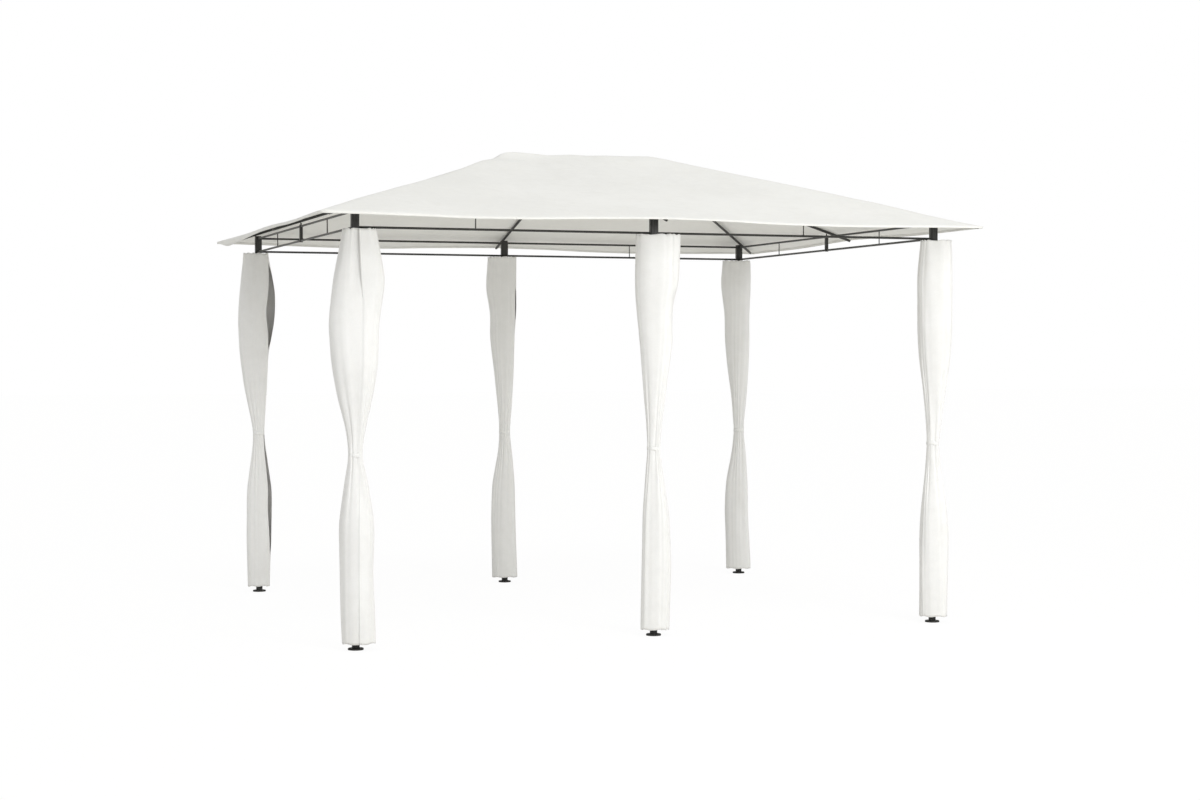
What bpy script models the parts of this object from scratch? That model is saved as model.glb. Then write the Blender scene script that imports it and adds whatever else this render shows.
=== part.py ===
"""A garden gazebo: six steel posts on round feet, ladder rails, a hipped roof frame under one
fabric canopy, and a curtain gathered round each post."""

from math import atan, cos, pi, radians, sin

import bmesh
import bpy
from mathutils import Vector

# Driving dimensions in metres. X runs along the long sides, and Y away from the front.
POST_SPACING_X = 3.07
POST_SPACING_Y = 2.56
MIDDLE_X = -0.0245  # the middle posts and rafters stand a little left of the centre
POST_SIDE = 0.034
POST_TOP = 2.0915
POST_FLUTE_DEPTH = 0.0012
POST_FLUTE_HALF_WIDTH = 0.0018
POST_FLUTE_OFFSET = 0.0055
POST_EDGE_CUT = 0.003

FOOT_RADIUS = 0.0375
FOOT_THICKNESS = 0.008
FOOT_STEM_RADIUS = 0.0185
FOOT_HEIGHT = 0.030

LOWER_RAIL_HEIGHT = 2.000
UPPER_RAIL_HEIGHT = 2.077
RAIL_RADIUS = 0.0058
END_PLATE_THICKNESS = 0.003
END_PLATE_WIDTH = 0.022
END_PLATE_RISE = 0.0062
THIN_STRUT_RADIUS = 0.003
THICK_STRUT_SIDE = 0.016
THICK_STRUT_PROUD = 0.002
PIN_RADIUS = 0.004
PIN_UNDER_RAFTER = 0.0015
LEFT_STRUT_X = -0.942
RIGHT_STRUT_X = 0.791
SHORT_SIDE_STRUT_Y = 0.663

RAFTER_RADIUS = 0.0075
RAFTER_HEIGHT_AT_POSTS = 2.1045
RIDGE_HALF_LENGTH = 0.43
RIDGE_HEIGHT = 2.4765
RIDGE_RADIUS = 0.009
RIDGE_SLEEVE_RADIUS = 0.012
RIDGE_SLEEVE_LENGTH = 0.08
HUB_RADIUS = 0.032
HUB_BOTTOM = 2.425
HUB_SHOULDER = 2.470
HUB_TOP = 2.488
HUB_CROWN_RADIUS = 0.012
HUB_CROWN_DROP = 0.007
HUB_EDGE = 0.004
HUB_STUB_RADIUS = 0.011
HUB_STUB_REACH = 0.055
HIP_HEIGHT_AT_HUB = 2.470
END_RAFTER_HEIGHT_AT_HUB = 2.458
HIP_PAST_POST = 0.245
SIDE_RAFTER_PAST_POST = 0.175
END_RAFTER_PAST_RAIL = 0.150

CANOPY_THICKNESS = 0.003
CANOPY_OVER_RAFTER = 0.0115
CANOPY_CORNER_PAST_POST = 0.31
CANOPY_SIDE_PAST_POST = 0.200
CANOPY_END_PAST_RAIL = 0.172
CANOPY_LIP = 0.016
CANOPY_LIFT = 0.016
CANOPY_SAG = 0.0145
RIDGE_SKIN_MIDDLE = 2.499
RIDGE_SKIN_RISE = 0.005
HUB_TENT_REACH = 0.30
TENT_HOLLOW = 1.5
# How far out the skin's points lie: shares of the tent over the hub, then of the slope below it.
TENT_RINGS = (0.0, 0.15, 0.45, 1.0)
SLOPE_RINGS = (0.13, 0.29, 0.45, 0.61, 0.76, 0.88, 0.955, 1.0)
LIFT_STARTS = 0.93
SAG_FULL_FROM = 0.35

CURTAIN_BOTTOM = 0.033
CURTAIN_TOP = 1.993
CURTAIN_BORE = 0.0187
CURTAIN_DEPTH_SHARE = 0.8
CURTAIN_SIDES = 16
TIE_HEIGHT = 0.018
TIE_THICKNESS = 0.0025
TIE_RADIUS = 0.0342
WAIST_RADIUS = 0.031
WAIST_HALF_HEIGHT = 0.012

GAP = 0.0003
HALF_X = POST_SPACING_X / 2
HALF_Y = POST_SPACING_Y / 2

# Each curtain's tie height, and its reach left and right of its post in millimetres at
# heights in metres. A waist that fits the tie is added to each list.
CURTAINS = {
    "front_left": (0.925, [
        (CURTAIN_TOP, 55, 100), (1.75, 105, 145), (1.55, 125, 115), (1.35, 110, 110),
        (1.20, 85, 85), (1.05, 45, 50), (0.80, 50, 60), (0.60, 75, 85), (0.35, 70, 75),
        (CURTAIN_BOTTOM, 60, 90)]),
    "front_middle": (0.930, [
        (CURTAIN_TOP, 90, 135), (1.75, 95, 125), (1.65, 90, 100), (1.45, 70, 95),
        (1.20, 50, 60), (1.05, 35, 42), (0.80, 40, 50), (0.60, 55, 80), (0.35, 60, 90),
        (CURTAIN_BOTTOM, 65, 80)]),
    "front_right": (0.935, [
        (CURTAIN_TOP, 65, 95), (1.80, 85, 100), (1.50, 80, 100), (1.35, 70, 90),
        (1.20, 50, 65), (1.05, 35, 48), (0.80, 38, 42), (0.60, 60, 75), (0.45, 68, 85),
        (CURTAIN_BOTTOM, 68, 78)]),
    "back_left": (0.935, [
        (CURTAIN_TOP, 85, 60), (1.75, 110, 100), (1.60, 120, 95), (1.40, 110, 60),
        (1.20, 85, 50), (1.05, 55, 38), (0.80, 42, 48), (0.60, 70, 75), (0.30, 73, 72),
        (CURTAIN_BOTTOM, 68, 62)]),
    "back_middle": (0.920, [
        (CURTAIN_TOP, 100, 75), (1.80, 115, 72), (1.65, 87, 72), (1.50, 90, 63),
        (1.30, 65, 58), (1.05, 40, 45), (0.80, 40, 48), (0.60, 78, 62), (0.40, 85, 66),
        (CURTAIN_BOTTOM, 77, 79)]),
    "back_right": (0.915, [
        (CURTAIN_TOP, 103, 76), (1.85, 118, 76), (1.65, 90, 68), (1.50, 90, 70),
        (1.30, 70, 62), (1.10, 45, 50), (0.80, 40, 48), (0.60, 80, 58), (0.40, 88, 62),
        (CURTAIN_BOTTOM, 78, 77)]),
}

POSTS = {
    "front_left": (-HALF_X, -HALF_Y),
    "front_middle": (MIDDLE_X, -HALF_Y),
    "front_right": (HALF_X, -HALF_Y),
    "back_left": (-HALF_X, HALF_Y),
    "back_middle": (MIDDLE_X, HALF_Y),
    "back_right": (HALF_X, HALF_Y),
}


def clear_scene():
    for obj in list(bpy.data.objects):
        bpy.data.objects.remove(obj, do_unlink=True)


def make_collection(name):
    collection = bpy.data.collections.new(name)
    bpy.context.scene.collection.children.link(collection)
    return collection


def make_material(name, color, roughness, metallic=0.0):
    material = bpy.data.materials.new(name)
    material.use_nodes = True
    shader = material.node_tree.nodes["Principled BSDF"]
    shader.inputs["Base Color"].default_value = (*color, 1.0)
    shader.inputs["Roughness"].default_value = roughness
    shader.inputs["Metallic"].default_value = metallic
    material.diffuse_color = (*color, 1.0)
    return material


def finish_mesh(bm, name, material, collection, smooth_angle=None):
    """Turns the bmesh into an object in the collection."""
    mesh = bpy.data.meshes.new(name)
    bm.to_mesh(mesh)
    bm.free()
    if smooth_angle is not None:
        mesh.shade_smooth()
        mesh.set_sharp_from_angle(angle=radians(smooth_angle))
    mesh.materials.append(material)
    obj = bpy.data.objects.new(name, mesh)
    collection.objects.link(obj)
    return obj


def make_tube(name, start, end, radius, material, collection, resolution=2):
    """A straight round tube with closed ends, as a curve."""
    curve = bpy.data.curves.new(name, "CURVE")
    curve.dimensions = "3D"
    curve.bevel_depth = radius
    curve.bevel_resolution = resolution
    curve.use_fill_caps = True
    spline = curve.splines.new("POLY")
    spline.points.add(1)
    spline.points[0].co = (*start, 1.0)
    spline.points[1].co = (*end, 1.0)
    curve.materials.append(material)
    obj = bpy.data.objects.new(name, curve)
    collection.objects.link(obj)
    return obj


def as_mesh(obj, collection):
    """Replaces a curve object by a closed mesh object of the same name."""
    bpy.context.view_layer.update()
    graph = bpy.context.evaluated_depsgraph_get()
    mesh = bpy.data.meshes.new_from_object(obj.evaluated_get(graph))
    bm = bmesh.new()
    bm.from_mesh(mesh)
    bmesh.ops.remove_doubles(bm, verts=bm.verts, dist=0.00005)
    bmesh.ops.recalc_face_normals(bm, faces=bm.faces)
    bm.to_mesh(mesh)
    bm.free()
    name = obj.name
    matrix = obj.matrix_world.copy()
    bpy.data.objects.remove(obj, do_unlink=True)
    made = bpy.data.objects.new(name, mesh)
    made.matrix_world = matrix
    collection.objects.link(made)
    return made


def make_box(name, size, center, material, collection):
    bm = bmesh.new()
    bmesh.ops.create_cube(bm, size=1.0)
    bmesh.ops.scale(bm, vec=size, verts=bm.verts)
    bmesh.ops.translate(bm, vec=center, verts=bm.verts)
    return finish_mesh(bm, name, material, collection)


def join_with(base, others, helpers):
    """Unites the base with each of the other shapes through Boolean modifiers."""
    for other in others:
        helpers.objects.link(other)
        for owner in list(other.users_collection):
            if owner is not helpers:
                owner.objects.unlink(other)
        other.hide_render = True
        other.display_type = "WIRE"
        union = base.modifiers.new("join_" + other.name, "BOOLEAN")
        union.operation = "UNION"
        union.solver = "EXACT"
        union.object = other


def make_turned(name, profile, location, material, collection, steps=28, closed=False):
    """A turned piece. The profile holds (radius, height) pairs from the top down its outer side,
    and a closed one comes back up inside it."""
    bm = bmesh.new()
    points = [bm.verts.new((radius, 0.0, height)) for radius, height in profile]
    for first, second in zip(points, points[1:]):
        bm.edges.new((first, second))
    if closed:
        bm.edges.new((points[-1], points[0]))
    obj = finish_mesh(bm, name, material, collection)
    obj.location = location
    screw = obj.modifiers.new("turn", "SCREW")
    screw.axis = "Z"
    screw.steps = steps
    screw.render_steps = steps
    screw.use_merge_vertices = True
    screw.merge_threshold = 0.00005
    screw.use_smooth_shade = False
    return obj


def post_outline():
    """The square section with cut corners and two shallow flutes in each face."""
    half = POST_SIDE / 2
    face = [(half - POST_EDGE_CUT, 0.0)]
    for middle in (POST_FLUTE_OFFSET, -POST_FLUTE_OFFSET):
        face.append((middle + POST_FLUTE_HALF_WIDTH, 0.0))
        face.append((middle, -POST_FLUTE_DEPTH))
        face.append((middle - POST_FLUTE_HALF_WIDTH, 0.0))
    face.append((POST_EDGE_CUT - half, 0.0))
    points = []
    for quarter in range(4):
        turn = quarter * pi / 2
        for along, out in face:
            x, y = half + out, -along
            points.append((x * cos(turn) - y * sin(turn), x * sin(turn) + y * cos(turn)))
    return points


def make_post(name, place, material, collection):
    bm = bmesh.new()
    bottom = FOOT_HEIGHT + GAP
    outline = [bm.verts.new((x, y, bottom)) for x, y in post_outline()]
    face = bm.faces.new(outline)
    grown = bmesh.ops.extrude_face_region(bm, geom=[face])
    top = [item for item in grown["geom"] if isinstance(item, bmesh.types.BMVert)]
    bmesh.ops.translate(bm, vec=(0.0, 0.0, POST_TOP - bottom), verts=top)
    bmesh.ops.recalc_face_normals(bm, faces=bm.faces)
    obj = finish_mesh(bm, name, material, collection)
    obj.location = (*place, 0.0)
    return obj


def make_foot(name, place, material, collection):
    edge = 0.0015
    profile = [
        (0.0, FOOT_HEIGHT),
        (FOOT_STEM_RADIUS - edge, FOOT_HEIGHT),
        (FOOT_STEM_RADIUS, FOOT_HEIGHT - edge),
        (FOOT_STEM_RADIUS, FOOT_THICKNESS + edge),
        (FOOT_STEM_RADIUS + edge, FOOT_THICKNESS),
        (FOOT_RADIUS - edge, FOOT_THICKNESS),
        (FOOT_RADIUS, FOOT_THICKNESS - edge),
        (FOOT_RADIUS, 0.0),
        (0.0, 0.0),
    ]
    return make_turned(name, profile, (*place, 0.0), material, collection)


def make_rail_panel(name, start, end, struts, thick_struts, material, collection, helpers):
    """Two level tubes between two plan points, with end plates, and upright struts at the
    given plan points between them."""
    start, end = Vector(start), Vector(end)
    along = (end - start).normalized()
    inner_start = start + along * (END_PLATE_THICKNESS / 2)
    inner_end = end - along * (END_PLATE_THICKNESS / 2)
    tubes = []
    for label, height in (("_upper", UPPER_RAIL_HEIGHT), ("_lower", LOWER_RAIL_HEIGHT)):
        tube = make_tube(name + label, (*inner_start, height), (*inner_end, height), RAIL_RADIUS,
                         material, collection)
        tubes.append(as_mesh(tube, collection))
    shapes = [tubes[1]]
    middle_height = (UPPER_RAIL_HEIGHT + LOWER_RAIL_HEIGHT) / 2
    plate_height = UPPER_RAIL_HEIGHT - LOWER_RAIL_HEIGHT + 2 * END_PLATE_RISE
    lengthwise = abs(along.x) > 0.5
    for number, spot in enumerate((start + along * END_PLATE_THICKNESS / 2,
                                   end - along * END_PLATE_THICKNESS / 2)):
        if lengthwise:
            size = (END_PLATE_THICKNESS, END_PLATE_WIDTH, plate_height)
        else:
            size = (END_PLATE_WIDTH, END_PLATE_THICKNESS, plate_height)
        shapes.append(make_box(f"{name}_plate_{number}", size, (*spot, middle_height),
                               material, collection))
    for number, spot in enumerate(struts):
        rod = make_tube(f"{name}_strut_{number}", (*spot, LOWER_RAIL_HEIGHT),
                        (*spot, UPPER_RAIL_HEIGHT), THIN_STRUT_RADIUS, material, collection, 1)
        shapes.append(as_mesh(rod, collection))
    for number, spot in enumerate(thick_struts):
        low = LOWER_RAIL_HEIGHT - RAIL_RADIUS - THICK_STRUT_PROUD
        high = UPPER_RAIL_HEIGHT + RAIL_RADIUS + THICK_STRUT_PROUD
        size = (THICK_STRUT_SIDE, THICK_STRUT_SIDE, high - low)
        shapes.append(make_box(f"{name}_joint_{number}", size, (*spot, (high + low) / 2),
                               material, collection))
        rafter_under = RAFTER_HEIGHT_AT_POSTS - RAFTER_RADIUS / cos(end_rafter_angle())
        pin = make_tube(f"{name}_pin_{number}", (*spot, high - PIN_RADIUS),
                        (*spot, rafter_under - PIN_UNDER_RAFTER), PIN_RADIUS, material,
                        collection, 1)
        shapes.append(as_mesh(pin, collection))
    panel = tubes[0]
    panel.name = name
    panel.data.materials.clear()
    panel.data.materials.append(material)
    join_with(panel, shapes, helpers)
    return panel


def end_rafter_angle():
    run = HALF_X - RIDGE_HALF_LENGTH
    return atan((END_RAFTER_HEIGHT_AT_HUB - RAFTER_HEIGHT_AT_POSTS) / run)


def make_rafter(name, top, post, past, clear_of, material, collection):
    """A tube from the hub or ridge over a post and out to the canopy's edge."""
    top, post = Vector(top), Vector(post)
    run = (post - top).xy.length
    along = (post - top) / run
    slope = atan(abs(along.z))
    start = top + along * (clear_of + GAP + RAFTER_RADIUS * sin(slope))
    end = post + along * past
    return make_tube(name, start, end, RAFTER_RADIUS, material, collection)


def make_hub(name, side, material, collection, helpers):
    profile = [
        (0.0, HUB_TOP),
        (HUB_CROWN_RADIUS, HUB_TOP - HUB_CROWN_DROP),
        (HUB_RADIUS - HUB_EDGE, HUB_SHOULDER),
        (HUB_RADIUS, HUB_SHOULDER - HUB_EDGE),
        (HUB_RADIUS, HUB_BOTTOM + HUB_EDGE),
        (HUB_RADIUS - HUB_EDGE, HUB_BOTTOM),
        (0.0, HUB_BOTTOM),
    ]
    hub = make_turned(name, profile, (side * RIDGE_HALF_LENGTH, 0.0, 0.0), material, collection)
    start = (side * RIDGE_HALF_LENGTH, 0.0, RIDGE_HEIGHT)
    end = (side * (RIDGE_HALF_LENGTH - HUB_STUB_REACH), 0.0, RIDGE_HEIGHT)
    stub = as_mesh(make_tube(name + "_stub", start, end, HUB_STUB_RADIUS, material, collection),
                   collection)
    join_with(hub, [stub], helpers)
    return hub


def make_ridge(material, collection, helpers):
    reach = RIDGE_HALF_LENGTH - HUB_STUB_REACH - GAP
    ridge = as_mesh(make_tube("ridge_tube", (-reach, 0.0, RIDGE_HEIGHT),
                              (reach, 0.0, RIDGE_HEIGHT), RIDGE_RADIUS, material, collection),
                    collection)
    half = RIDGE_SLEEVE_LENGTH / 2
    sleeve = as_mesh(make_tube("ridge_sleeve", (MIDDLE_X - half, 0.0, RIDGE_HEIGHT),
                               (MIDDLE_X + half, 0.0, RIDGE_HEIGHT), RIDGE_SLEEVE_RADIUS,
                               material, collection), collection)
    join_with(ridge, [sleeve], helpers)
    return ridge


def smooth_step(value):
    value = min(max(value, 0.0), 1.0)
    return value * value * (3 - 2 * value)


def canopy_supports(middle_x):
    """For a quarter of the roof, from the end rafter over the hip to the side rafter: the top's
    x, the edge point, and the skin's height at the top and, in a straight line, at the edge."""
    reach = Vector((HALF_X - RIDGE_HALF_LENGTH, HALF_Y))
    hip_fall = (HIP_HEIGHT_AT_HUB - RAFTER_HEIGHT_AT_POSTS) / reach.length
    side_fall = (RIDGE_HEIGHT - RAFTER_HEIGHT_AT_POSTS) / HALF_Y
    end_fall = (END_RAFTER_HEIGHT_AT_HUB - RAFTER_HEIGHT_AT_POSTS) / reach.x
    at_posts = RAFTER_HEIGHT_AT_POSTS + CANOPY_OVER_RAFTER
    corner = Vector((HALF_X, HALF_Y)) + reach.normalized() * CANOPY_CORNER_PAST_POST
    return [
        (RIDGE_HALF_LENGTH, Vector((HALF_X + CANOPY_END_PAST_RAIL, 0.0)),
         END_RAFTER_HEIGHT_AT_HUB + CANOPY_OVER_RAFTER,
         at_posts - end_fall * CANOPY_END_PAST_RAIL),
        (RIDGE_HALF_LENGTH, corner, HIP_HEIGHT_AT_HUB + CANOPY_OVER_RAFTER,
         at_posts - hip_fall * CANOPY_CORNER_PAST_POST),
        (middle_x, Vector((middle_x, HALF_Y + CANOPY_SIDE_PAST_POST)),
         RIDGE_HEIGHT + CANOPY_OVER_RAFTER, at_posts - side_fall * CANOPY_SIDE_PAST_POST),
    ]


def canopy_rib(first, second, share):
    """Points of the skin from the ridge to the lip, at a share of the way between two supports."""
    top_x = first[0] + (second[0] - first[0]) * share
    edge = first[1].lerp(second[1], share)
    top = first[2] + (second[2] - first[2]) * share
    eave = first[3] + (second[3] - first[3]) * share
    peak = RIDGE_SKIN_MIDDLE + RIDGE_SKIN_RISE * (top_x / RIDGE_HALF_LENGTH) ** 2
    start = Vector((top_x, 0.0))
    length = (edge - start).length
    near = [HUB_TENT_REACH * ring for ring in TENT_RINGS]
    far = [HUB_TENT_REACH + (length - HUB_TENT_REACH) * ring for ring in SLOPE_RINGS]
    points = []
    for distance in near + far:
        part = distance / length
        tent = max(0.0, 1 - distance / HUB_TENT_REACH) ** TENT_HOLLOW
        height = top + (eave - top) * part + (peak - top) * tent
        height += CANOPY_LIFT * smooth_step((part - LIFT_STARTS) / (1 - LIFT_STARTS))
        height -= CANOPY_SAG * sin(pi * share) * smooth_step(part / SAG_FULL_FROM)
        place = start.lerp(edge, part)
        points.append(Vector((place.x, place.y, height)))
    points.append(points[-1] - Vector((0.0, 0.0, CANOPY_LIP)))
    return points


def make_canopy(material, collection, per_bay=5):
    ribs = []
    for sign_x, sign_y, backwards in ((1, 1, False), (-1, 1, True), (-1, -1, False), (1, -1, True)):
        end, hip, side = canopy_supports(sign_x * MIDDLE_X)
        quarter = [canopy_rib(end, hip, step / per_bay) for step in range(per_bay)]
        quarter += [canopy_rib(hip, side, step / per_bay) for step in range(per_bay + 1)]
        turned = [[Vector((p.x * sign_x, p.y * sign_y, p.z)) for p in rib] for rib in quarter]
        ribs += (turned[::-1] if backwards else turned)[:-1]
    bm = bmesh.new()
    rows = [[bm.verts.new(point) for point in rib] for rib in ribs]
    for here, there in zip(rows, rows[1:] + rows[:1]):
        for step in range(len(here) - 1):
            corners = (here[step], here[step + 1], there[step + 1], there[step])
            bm.faces.new(corners)
    bmesh.ops.remove_doubles(bm, verts=bm.verts, dist=0.00005)
    bmesh.ops.recalc_face_normals(bm, faces=bm.faces)
    if sum(face.normal.z for face in bm.faces) < 0:
        bmesh.ops.reverse_faces(bm, faces=bm.faces)
    canopy = finish_mesh(bm, "canopy", material, collection, 30)
    skin = canopy.modifiers.new("skin", "SOLIDIFY")
    skin.thickness = CANOPY_THICKNESS
    skin.offset = -1.0
    skin.use_even_offset = True
    skin.use_quality_normals = True
    return canopy


def ring_point(angle, left, right, depth):
    """A point of a lopsided oval, wider by left or right of the post."""
    across = right if cos(angle) > 0 else left
    return Vector((across * cos(angle), depth * sin(angle)))


def make_curtain(name, place, tie_height, stations, material, collection):
    """A gathered curtain's outer shape, with a square bore for the post."""
    bm = bmesh.new()
    angles = [2 * pi * step / CURTAIN_SIDES for step in range(CURTAIN_SIDES)]
    waist = WAIST_RADIUS * 1000
    stations = stations + [(tie_height + WAIST_HALF_HEIGHT, waist, waist),
                           (tie_height - WAIST_HALF_HEIGHT, waist, waist)]
    stations.sort(reverse=True)
    rings = []
    for height, left, right in stations:
        depth = max((left + right) / 2 * CURTAIN_DEPTH_SHARE, waist) / 1000
        points = [ring_point(angle, left / 1000, right / 1000, depth) for angle in angles]
        rings.append([bm.verts.new((p.x, p.y, height)) for p in points])
    bores = []
    for height in (stations[0][0], stations[-1][0]):
        bore = []
        for angle in angles:
            reach = CURTAIN_BORE / max(abs(cos(angle)), abs(sin(angle)))
            bore.append(bm.verts.new((reach * cos(angle), reach * sin(angle), height)))
        bores.append(bore)
    loops = [bores[0]] + rings + [bores[1]]
    for upper, lower in zip(loops, loops[1:] + loops[:1]):
        for step in range(CURTAIN_SIDES):
            after = (step + 1) % CURTAIN_SIDES
            bm.faces.new((upper[step], lower[step], lower[after], upper[after]))
    bmesh.ops.recalc_face_normals(bm, faces=bm.faces)
    obj = finish_mesh(bm, name, material, collection, 40)
    obj.location = (*place, 0.0)
    return obj


def make_tie(name, place, height, material, collection):
    inner = TIE_RADIUS - TIE_THICKNESS
    top = height + TIE_HEIGHT / 2
    bottom = height - TIE_HEIGHT / 2
    band = [(inner, top), (TIE_RADIUS, top), (TIE_RADIUS, bottom), (inner, bottom)]
    return make_turned(name, band, (*place, 0.0), material, collection, 24, True)


def build():
    clear_scene()
    gazebo = make_collection("garden_gazebo")
    helpers = make_collection("joined_shapes")
    steel = make_material("anthracite_steel", (0.036, 0.036, 0.034), 0.45, 0.2)
    plastic = make_material("black_plastic", (0.028, 0.028, 0.027), 0.55)
    cloth = make_material("cream_canopy_cloth", (0.83, 0.83, 0.79), 0.85)
    curtain_cloth = make_material("cream_curtain_cloth", (0.84, 0.84, 0.81), 0.85)

    for spot, place in POSTS.items():
        tie_height, stations = CURTAINS[spot]
        make_post("post_" + spot, place, steel, gazebo)
        make_foot("foot_" + spot, place, plastic, gazebo)
        make_curtain("curtain_" + spot, place, tie_height, stations, curtain_cloth, gazebo)
        make_tie("tie_" + spot, place, tie_height, curtain_cloth, gazebo)

    face = POST_SIDE / 2 + GAP
    for side, y in (("front", -HALF_Y), ("back", HALF_Y)):
        make_rail_panel(f"rail_{side}_left", (face - HALF_X, y), (MIDDLE_X - face, y),
                        [(LEFT_STRUT_X, y)], [], steel, gazebo, helpers)
        make_rail_panel(f"rail_{side}_right", (MIDDLE_X + face, y), (HALF_X - face, y),
                        [(RIGHT_STRUT_X, y)], [], steel, gazebo, helpers)
    for side, x in (("left", -HALF_X), ("right", HALF_X)):
        make_rail_panel("rail_" + side, (x, face - HALF_Y), (x, HALF_Y - face),
                        [(x, -SHORT_SIDE_STRUT_Y), (x, SHORT_SIDE_STRUT_Y)], [(x, 0.0)],
                        steel, gazebo, helpers)

    make_ridge(steel, gazebo, helpers)
    for side, sign_x in (("left", -1), ("right", 1)):
        make_hub("hub_" + side, sign_x, steel, gazebo, helpers)
        hub_x = sign_x * RIDGE_HALF_LENGTH
        post_x = sign_x * HALF_X
        make_rafter("rafter_" + side, (hub_x, 0.0, END_RAFTER_HEIGHT_AT_HUB),
                    (post_x, 0.0, RAFTER_HEIGHT_AT_POSTS), END_RAFTER_PAST_RAIL, HUB_RADIUS,
                    steel, gazebo)
        for end, sign_y in (("front", -1), ("back", 1)):
            make_rafter(f"rafter_{end}_{side}", (hub_x, 0.0, HIP_HEIGHT_AT_HUB),
                        (post_x, sign_y * HALF_Y, RAFTER_HEIGHT_AT_POSTS), HIP_PAST_POST,
                        HUB_RADIUS, steel, gazebo)
    for end, sign_y in (("front", -1), ("back", 1)):
        make_rafter(f"rafter_{end}_middle", (MIDDLE_X, 0.0, RIDGE_HEIGHT),
                    (MIDDLE_X, sign_y * HALF_Y, RAFTER_HEIGHT_AT_POSTS), SIDE_RAFTER_PAST_POST,
                    RIDGE_SLEEVE_RADIUS, steel, gazebo)
    make_canopy(cloth, gazebo)


build()
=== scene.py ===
from math import cos, exp, pi, radians, sin

import bpy
import numpy as np
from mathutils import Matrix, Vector


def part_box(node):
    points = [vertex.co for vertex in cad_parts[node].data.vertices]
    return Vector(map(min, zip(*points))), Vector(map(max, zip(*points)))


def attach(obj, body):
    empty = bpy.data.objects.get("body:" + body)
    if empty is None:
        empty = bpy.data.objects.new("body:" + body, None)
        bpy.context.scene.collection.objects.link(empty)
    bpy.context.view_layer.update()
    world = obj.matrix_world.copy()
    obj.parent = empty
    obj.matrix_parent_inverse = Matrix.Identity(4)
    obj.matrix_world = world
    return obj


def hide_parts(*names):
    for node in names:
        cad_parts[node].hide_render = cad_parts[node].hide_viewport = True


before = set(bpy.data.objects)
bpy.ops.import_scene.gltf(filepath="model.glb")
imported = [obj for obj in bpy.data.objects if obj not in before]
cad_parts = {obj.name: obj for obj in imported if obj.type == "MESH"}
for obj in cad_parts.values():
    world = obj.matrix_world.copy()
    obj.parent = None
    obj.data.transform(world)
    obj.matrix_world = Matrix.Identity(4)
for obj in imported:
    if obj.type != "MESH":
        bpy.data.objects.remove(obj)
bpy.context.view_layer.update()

scene = bpy.context.scene
spots = ("front_left", "front_middle", "front_right", "back_left", "back_middle", "back_right")
white = (1.0, 1.0, 1.0)

# The camera stands where the photo was taken from: metres, degrees and mm.
cameraStand = {
    "place": (-3.716, -10.938, 1.408),
    "yaw": 19.44,
    "pitch": 1.307,
    "lens": 62.42,
    "sensor": 36.0,
    "farthest": 200.0,
}


def addCamera():
    data = bpy.data.cameras.new("camera")
    data.lens = cameraStand["lens"]
    data.sensor_width = cameraStand["sensor"]
    data.clip_end = cameraStand["farthest"]
    camera = bpy.data.objects.new("camera", data)
    camera.location = cameraStand["place"]
    camera.rotation_euler = (radians(90 - cameraStand["pitch"]), 0.0, radians(-cameraStand["yaw"]))
    scene.collection.objects.link(camera)
    scene.camera = camera


addCamera()
print("camera placed")

# The frame gives the places of the posts and the hubs, as seen from above.
hubRadius = 0.032


def postPlace(spot):
    low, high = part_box("post_" + spot)
    return (low.x + high.x) / 2, (low.y + high.y) / 2


def cornerOut():
    return np.abs(postPlace("front_right"))


def hubOut():
    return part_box("hub_right")[1].x - hubRadius


# Node helpers. A socket takes a link from another node, a colour or a plain value.
def feed(tree, socket, value):
    if isinstance(value, bpy.types.NodeSocket):
        tree.links.new(value, socket)
    elif isinstance(value, tuple):
        socket.default_value = (*value, 1.0)
    else:
        socket.default_value = value


def newNode(tree, kind, **settings):
    node = tree.nodes.new(kind)
    for label, value in settings.items():
        setattr(node, label, value)
    return node


def mathNode(tree, operation, *values):
    node = newNode(tree, "ShaderNodeMath", operation=operation)
    for socket, value in zip(node.inputs, values):
        feed(tree, socket, value)
    return node.outputs[0]


def rangeNode(tree, value, low, high, toLow=0.0, toHigh=1.0):
    node = newNode(tree, "ShaderNodeMapRange", interpolation_type="SMOOTHSTEP")
    labels = ("Value", "From Min", "From Max", "To Min", "To Max")
    for label, given in zip(labels, (value, low, high, toLow, toHigh)):
        feed(tree, node.inputs[label], given)
    return node.outputs["Result"]


def noiseNode(tree, place, scale, detail=2.0, rough=0.5):
    node = newNode(tree, "ShaderNodeTexNoise")
    for label, value in (("Vector", place), ("Scale", scale), ("Detail", detail), ("Roughness", rough)):
        feed(tree, node.inputs[label], value)
    return node.outputs["Fac"]


# A colour Mix node takes its two colours at sockets 6 and 7 and gives the result at 2.
def mixColour(tree, share, first, second):
    node = newNode(tree, "ShaderNodeMix", data_type="RGBA")
    for socket, value in (("Factor", share), (6, first), (7, second)):
        feed(tree, node.inputs[socket], value)
    return node.outputs[2]


def axesOf(tree, place):
    node = newNode(tree, "ShaderNodeSeparateXYZ")
    feed(tree, node.inputs[0], place)
    return node.outputs


def mapNode(tree, label):
    return newNode(tree, "ShaderNodeUVMap", uv_map=label).outputs[0]


def objectPlace(tree):
    return newNode(tree, "ShaderNodeTexCoord").outputs["Object"]


socketKinds = {"number": "NodeSocketFloat", "vector": "NodeSocketVector", "colour": "NodeSocketColor"}


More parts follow.
